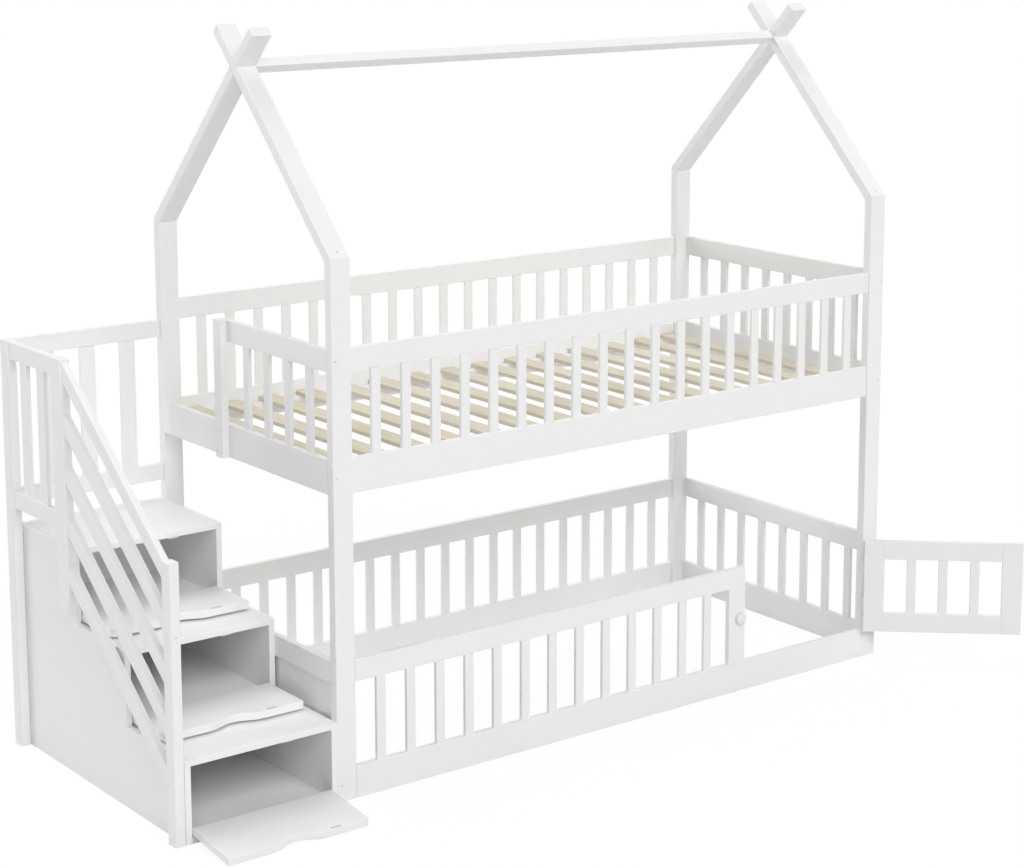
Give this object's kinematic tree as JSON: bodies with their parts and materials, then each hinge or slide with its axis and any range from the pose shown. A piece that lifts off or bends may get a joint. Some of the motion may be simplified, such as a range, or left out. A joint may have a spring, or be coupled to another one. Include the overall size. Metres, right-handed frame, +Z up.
{
  "type": "house bunk bed",
  "caption": "White house-shaped bunk bed with a ridge bar, guard rails, fenced floor bed with gate, and box stairs with hinged flaps.",
  "frame": {"origin": "on the floor under the middle of the whole part as it stands with the gate and the flaps open", "axes": "+X along the bed from the stairs to the gate end, +Y from the front to the back, +Z up"},
  "size_m": [2.927, 1.3464, 2.1269],
  "materials": {
    "white_lacquer": "satin white lacquer",
    "pine": "planed bare pine",
    "steel": "zinc plated",
    "white_enamel": "white enamel",
    "white_plastic": "satin"
  },
  "bodies": {
    "frame": {"back_left_post": "white_lacquer", "back_left_rafter": "white_lacquer", "back_right_post": "white_lacquer", "back_right_rafter": "white_lacquer", "bed_slats": "pine", "bolts_and_screw": "white_enamel", "entry_guard_post": "white_lacquer", "fence_back_rail": "white_lacquer", "fence_back_spindles": "white_lacquer", "fence_end_rails": "white_lacquer", "fence_end_stile": "white_lacquer", "fence_front_rail": "white_lacquer", "fence_front_spindles": "white_lacquer", "fence_right_spindles": "white_lacquer", "flap_pivot_pins": "steel", "front_left_post": "white_lacquer", "front_left_rafter": "white_lacquer", "front_right_post": "white_lacquer", "front_right_rafter": "white_lacquer", "guard_back_rail": "white_lacquer", "guard_back_spindles": "white_lacquer", "guard_front_rail": "white_lacquer", "guard_front_spindles": "white_lacquer", "guard_left_rail": "white_lacquer", "guard_left_spindles": "white_lacquer", "guard_right_rail": "white_lacquer", "guard_right_spindles": "white_lacquer", "landing_board": "white_lacquer", "left_infill_panel": "white_lacquer", "lower_back_rail": "white_lacquer", "lower_end_rails": "white_lacquer", "lower_front_rail": "white_lacquer", "lower_tread": "white_lacquer", "magnetic_catches": "white_plastic", "middle_tread": "white_lacquer", "post_hinge_leaves": "white_enamel", "ridge_bar": "white_lacquer", "slat_ledgers": "white_lacquer", "stair_back_panel": "white_lacquer", "stair_floor_board": "white_lacquer", "stair_guard_rails": "white_lacquer", "stair_guard_slats": "white_lacquer", "stair_handrails": "white_lacquer", "stair_left_panel": "white_lacquer", "stair_mid_post": "white_lacquer", "stair_newel": "white_lacquer", "stair_right_panel": "white_lacquer", "stair_tall_post": "white_lacquer", "upper_back_rail": "white_lacquer", "upper_end_rails": "white_lacquer", "upper_front_rail": "white_lacquer"},
    "gate": {"gate_stiles": "white_lacquer", "gate_rails": "white_lacquer", "gate_spindles": "white_lacquer", "gate_hinge_leaves": "white_enamel"},
    "latch": {"latch_button": "white_plastic"},
    "lower_flap": {"lower_flap": "white_lacquer"},
    "middle_flap": {"middle_flap": "white_lacquer"},
    "upper_flap": {"upper_flap": "white_lacquer"}
  },
  "joints": [
    {"name": "gate_hinge", "type": "hinge", "parent": "frame", "child": "gate", "pos_m": [1.0857, -0.313, 0.25], "axis": [0, 0, 1], "range_deg": [-138, 40]},
    {"name": "latch_turn", "type": "hinge", "parent": "frame", "child": "latch", "pos_m": [0.5457, -0.315, 0.225], "axis": [0, 1, 0], "range_deg": [0, 90]},
    {"name": "lower_flap_hinge", "type": "hinge", "parent": "frame", "child": "lower_flap", "pos_m": [-1.1923, -0.3045, 0.0272], "axis": [-1, 0, 0], "range_deg": [0, 96.9]},
    {"name": "middle_flap_hinge", "type": "hinge", "parent": "frame", "child": "middle_flap", "pos_m": [-1.1923, 0.0195, 0.2447], "axis": [-1, 0, 0], "range_deg": [0, 90]},
    {"name": "upper_flap_hinge", "type": "hinge", "parent": "frame", "child": "upper_flap", "pos_m": [-1.1923, 0.3095, 0.4622], "axis": [-1, 0, 0], "range_deg": [0, 90]}
  ]
}
